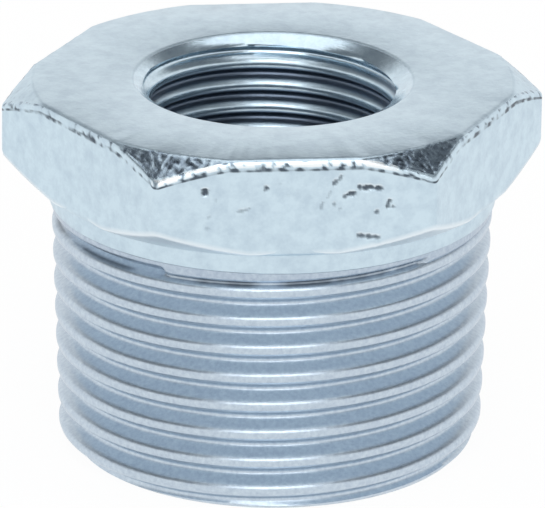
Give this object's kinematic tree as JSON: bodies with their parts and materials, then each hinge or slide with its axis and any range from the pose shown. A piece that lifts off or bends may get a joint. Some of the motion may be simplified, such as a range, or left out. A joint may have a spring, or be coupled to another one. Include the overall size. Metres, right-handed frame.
{
  "type": "hex bushing",
  "caption": "Zinc-plated malleable-iron hexagon reducing bushing with a male taper pipe thread and a smaller female pipe thread.",
  "frame": {"origin": "centre of the male end's face, on the axis of the threads", "axes": "+Z along the axis, from the male end towards the hexagon head; two corners of the hexagon lie on X and two of its flats face +Y and -Y"},
  "size_m": [0.0414, 0.036, 0.029],
  "materials": {
    "zinc_plated_iron": "bright zinc plating over cast malleable iron, turned on the threads and faced on top"
  },
  "bodies": {
    "root": {"hex_bushing": "zinc_plated_iron"}
  },
  "joints": []
}
